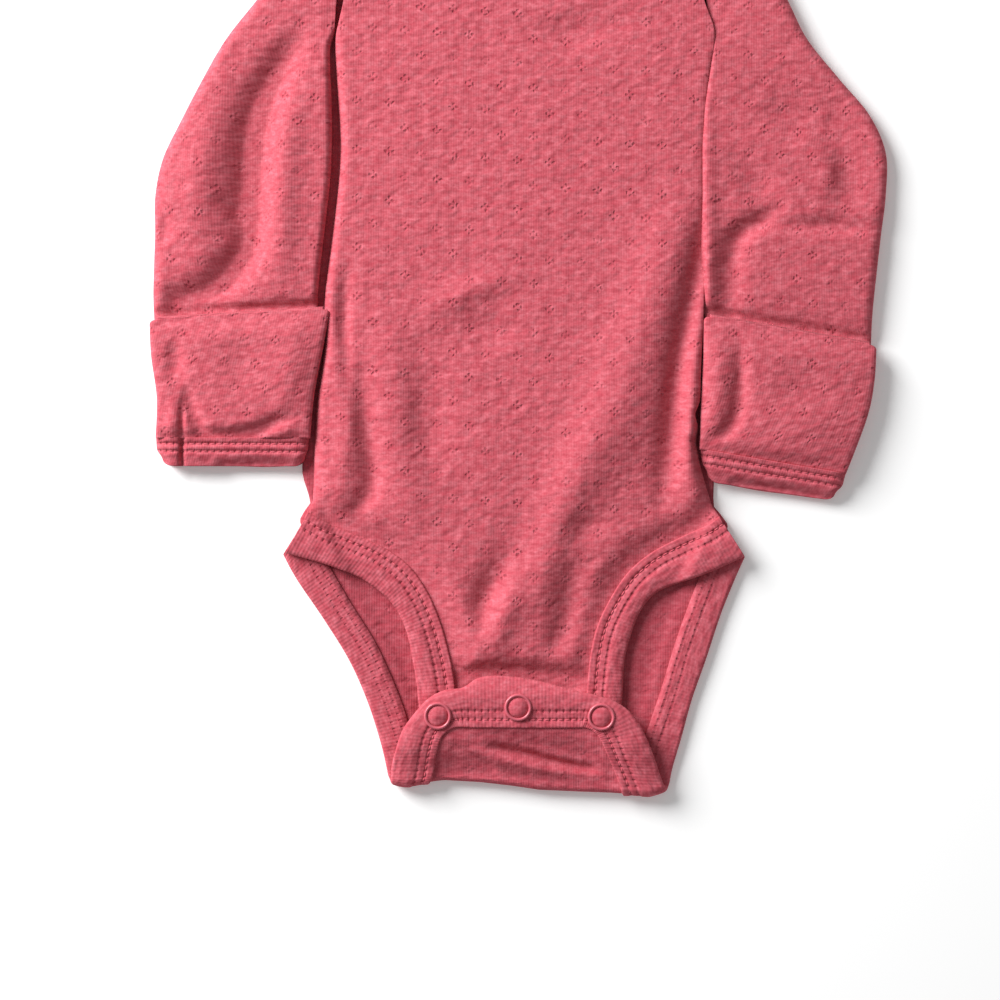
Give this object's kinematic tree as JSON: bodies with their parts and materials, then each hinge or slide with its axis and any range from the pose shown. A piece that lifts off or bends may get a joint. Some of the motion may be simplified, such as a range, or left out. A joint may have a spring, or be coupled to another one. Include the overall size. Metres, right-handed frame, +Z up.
{
  "type": "baby onesie laid flat",
  "caption": "Long-sleeved baby bodysuit in pointelle rib knit, laid flat front up, with fold-over mittens and a snapped crotch flap.",
  "frame": {"origin": "middle of the garment's outline, on the surface it lies on", "axes": "+Z up from the surface, out of the front; +Y from the crotch fold to the neck; +X to the picture's right"},
  "size_m": [0.2802, 0.3494, 0.011],
  "materials": {
    "knit": "heather pointelle rib knit, matt",
    "rib": "heather rib knit binding, matt",
    "snap": "enamelled in the cloth's colour, satin gloss"
  },
  "bodies": {
    "root": {"back_panel": "knit", "front_panel": "knit", "binding_back_left": "rib", "binding_back_right": "rib", "binding_flap": "rib", "binding_front_left": "rib", "binding_front_right": "rib", "binding_front_end": "rib", "sleeve_left": "knit", "sleeve_right": "knit", "mitten_left": "knit", "mitten_right": "knit", "cuff_band_left": "rib", "cuff_band_right": "rib", "neckband_front": "rib", "neckband_back": "rib", "snap_ring_1": "snap", "snap_ring_2": "snap", "snap_ring_3": "snap", "snap_stud_1": "snap", "snap_stud_2": "snap", "snap_stud_3": "snap"}
  },
  "joints": []
}
